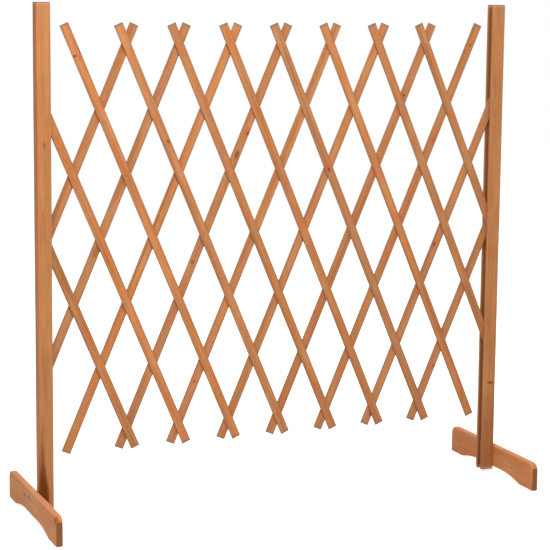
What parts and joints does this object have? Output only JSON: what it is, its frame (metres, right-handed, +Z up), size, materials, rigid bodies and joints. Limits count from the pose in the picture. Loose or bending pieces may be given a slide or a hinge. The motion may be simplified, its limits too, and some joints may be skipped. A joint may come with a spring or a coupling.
{
  "type": "expandable wooden trellis",
  "caption": "Free-standing garden trellis: crossed wooden slats pivot on nails, so the lattice opens and folds between grooved posts on arched feet.",
  "frame": {"origin": "on the ground, midway between the posts and midway along the feet", "axes": "+X along the trellis from the left post to the right one, +Y from front to back, +Z up"},
  "size_m": [1.0326, 0.348, 1],
  "materials": {
    "post_wood": "stained, satin",
    "foot_wood": "stained, satin",
    "slat_wood": "stained, satin",
    "fastener_steel": "galvanised"
  },
  "bodies": {
    "left_post": {"left_post": "post_wood", "left_foot": "foot_wood", "left_pin": "fastener_steel", "left_foot_screws": "fastener_steel"},
    "right_post": {"right_post": "post_wood", "right_foot": "foot_wood", "right_pin": "fastener_steel", "right_foot_screws": "fastener_steel"},
    "falling_01": {"falling_slat_01": "slat_wood", "slat_nails_01": "fastener_steel"},
    "rising_01": {"rising_slat_01": "slat_wood"},
    "falling_02": {"falling_slat_02": "slat_wood", "slat_nails_02": "fastener_steel"},
    "rising_02": {"rising_slat_02": "slat_wood"},
    "falling_03": {"falling_slat_03": "slat_wood", "slat_nails_03": "fastener_steel"},
    "rising_03": {"rising_slat_03": "slat_wood"},
    "falling_04": {"falling_slat_04": "slat_wood", "slat_nails_04": "fastener_steel"},
    "rising_04": {"rising_slat_04": "slat_wood"},
    "falling_05": {"falling_slat_05": "slat_wood", "slat_nails_05": "fastener_steel"},
    "rising_05": {"rising_slat_05": "slat_wood"},
    "falling_06": {"falling_slat_06": "slat_wood", "slat_nails_06": "fastener_steel"},
    "rising_06": {"rising_slat_06": "slat_wood"},
    "falling_07": {"falling_slat_07": "slat_wood", "slat_nails_07": "fastener_steel"},
    "rising_07": {"rising_slat_07": "slat_wood"},
    "falling_08": {"falling_slat_08": "slat_wood", "slat_nails_08": "fastener_steel"},
    "rising_08": {"rising_slat_08": "slat_wood"},
    "falling_09": {"falling_slat_09": "slat_wood", "slat_nails_09": "fastener_steel"},
    "rising_09": {"rising_slat_09": "slat_wood"},
    "falling_10": {"falling_slat_10": "slat_wood", "slat_nails_10": "fastener_steel"},
    "rising_10": {"rising_slat_10": "slat_wood"}
  },
  "joints": [
    {"name": "trellis_open", "type": "hinge", "parent": "left_post", "child": "rising_01", "pos_m": [-0.483, 0, 0.544], "axis": [0, 1, 0], "range_deg": [-16.65, 21.85]},
    {"name": "falling_01_turn", "type": "hinge", "parent": "left_post", "child": "falling_01", "pos_m": [-0.483, 0, 0.544], "axis": [0, 1, 0], "range_deg": [-21.9, 16.7]},
    {"name": "rising_02_turn", "type": "hinge", "parent": "falling_01", "child": "rising_02", "pos_m": [-0.42933, 0, 0.41849], "axis": [0, 1, 0], "range_deg": [-33.35, 43.75]},
    {"name": "rising_03_turn", "type": "hinge", "parent": "falling_01", "child": "rising_03", "pos_m": [-0.37567, 0, 0.29298], "axis": [0, 1, 0], "range_deg": [-33.35, 43.75]},
    {"name": "rising_04_turn", "type": "hinge", "parent": "falling_01", "child": "rising_04", "pos_m": [-0.322, 0, 0.16748], "axis": [0, 1, 0], "range_deg": [-33.35, 43.75]},
    {"name": "falling_02_turn", "type": "hinge", "parent": "rising_01", "child": "falling_02", "pos_m": [-0.42933, 0, 0.66951], "axis": [0, 1, 0], "range_deg": [-43.75, 33.35]},
    {"name": "falling_03_turn", "type": "hinge", "parent": "rising_01", "child": "falling_03", "pos_m": [-0.37567, 0, 0.79502], "axis": [0, 1, 0], "range_deg": [-43.75, 33.35]},
    {"name": "falling_04_turn", "type": "hinge", "parent": "rising_01", "child": "falling_04", "pos_m": [-0.322, 0, 0.92052], "axis": [0, 1, 0], "range_deg": [-43.75, 33.35]},
    {"name": "falling_05_turn", "type": "hinge", "parent": "rising_04", "child": "falling_05", "pos_m": [-0.10733, 0, 0.66951], "axis": [0, 1, 0], "range_deg": [-43.75, 33.35]},
    {"name": "falling_06_turn", "type": "hinge", "parent": "rising_04", "child": "falling_06", "pos_m": [-0.05367, 0, 0.79502], "axis": [0, 1, 0], "range_deg": [-43.75, 33.35]},
    {"name": "falling_07_turn", "type": "hinge", "parent": "rising_04", "child": "falling_07", "pos_m": [0, 0, 0.92052], "axis": [0, 1, 0], "range_deg": [-43.75, 33.35]},
    {"name": "rising_05_turn", "type": "hinge", "parent": "falling_04", "child": "rising_05", "pos_m": [-0.10733, 0, 0.41849], "axis": [0, 1, 0], "range_deg": [-33.35, 43.75]},
    {"name": "rising_06_turn", "type": "hinge", "parent": "falling_04", "child": "rising_06", "pos_m": [-0.05367, 0, 0.29298], "axis": [0, 1, 0], "range_deg": [-33.35, 43.75]},
    {"name": "rising_07_turn", "type": "hinge", "parent": "falling_04", "child": "rising_07", "pos_m": [0, 0, 0.16748], "axis": [0, 1, 0], "range_deg": [-33.35, 43.75]},
    {"name": "falling_08_turn", "type": "hinge", "parent": "rising_07", "child": "falling_08", "pos_m": [0.21467, 0, 0.66951], "axis": [0, 1, 0], "range_deg": [-43.75, 33.35]},
    {"name": "falling_09_turn", "type": "hinge", "parent": "rising_07", "child": "falling_09", "pos_m": [0.26833, 0, 0.79502], "axis": [0, 1, 0], "range_deg": [-43.75, 33.35]},
    {"name": "falling_10_turn", "type": "hinge", "parent": "rising_07", "child": "falling_10", "pos_m": [0.322, 0, 0.92052], "axis": [0, 1, 0], "range_deg": [-43.75, 33.35]},
    {"name": "rising_08_turn", "type": "hinge", "parent": "falling_07", "child": "rising_08", "pos_m": [0.21467, 0, 0.41849], "axis": [0, 1, 0], "range_deg": [-33.35, 43.75]},
    {"name": "rising_09_turn", "type": "hinge", "parent": "falling_07", "child": "rising_09", "pos_m": [0.26833, 0, 0.29298], "axis": [0, 1, 0], "range_deg": [-33.35, 43.75]},
    {"name": "rising_10_turn", "type": "hinge", "parent": "falling_07", "child": "rising_10", "pos_m": [0.322, 0, 0.16748], "axis": [0, 1, 0], "range_deg": [-33.35, 43.75]},
    {"name": "right_post_turn", "type": "hinge", "parent": "falling_10", "child": "right_post", "pos_m": [0.483, 0, 0.544], "axis": [0, 1, 0], "range_deg": [-16.7, 21.9]}
  ],
  "couplings": [
    {"joint": "falling_01_turn", "follows": "trellis_open", "ratio": -1},
    {"joint": "rising_02_turn", "follows": "trellis_open", "ratio": 2},
    {"joint": "rising_03_turn", "follows": "trellis_open", "ratio": 2},
    {"joint": "rising_04_turn", "follows": "trellis_open", "ratio": 2},
    {"joint": "falling_02_turn", "follows": "trellis_open", "ratio": -2},
    {"joint": "falling_03_turn", "follows": "trellis_open", "ratio": -2},
    {"joint": "falling_04_turn", "follows": "trellis_open", "ratio": -2},
    {"joint": "falling_05_turn", "follows": "trellis_open", "ratio": -2},
    {"joint": "falling_06_turn", "follows": "trellis_open", "ratio": -2},
    {"joint": "falling_07_turn", "follows": "trellis_open", "ratio": -2},
    {"joint": "rising_05_turn", "follows": "trellis_open", "ratio": 2},
    {"joint": "rising_06_turn", "follows": "trellis_open", "ratio": 2},
    {"joint": "rising_07_turn", "follows": "trellis_open", "ratio": 2},
    {"joint": "falling_08_turn", "follows": "trellis_open", "ratio": -2},
    {"joint": "falling_09_turn", "follows": "trellis_open", "ratio": -2},
    {"joint": "falling_10_turn", "follows": "trellis_open", "ratio": -2},
    {"joint": "rising_08_turn", "follows": "trellis_open", "ratio": 2},
    {"joint": "rising_09_turn", "follows": "trellis_open", "ratio": 2},
    {"joint": "rising_10_turn", "follows": "trellis_open", "ratio": 2},
    {"joint": "right_post_turn", "follows": "trellis_open", "ratio": 1}
  ]
}
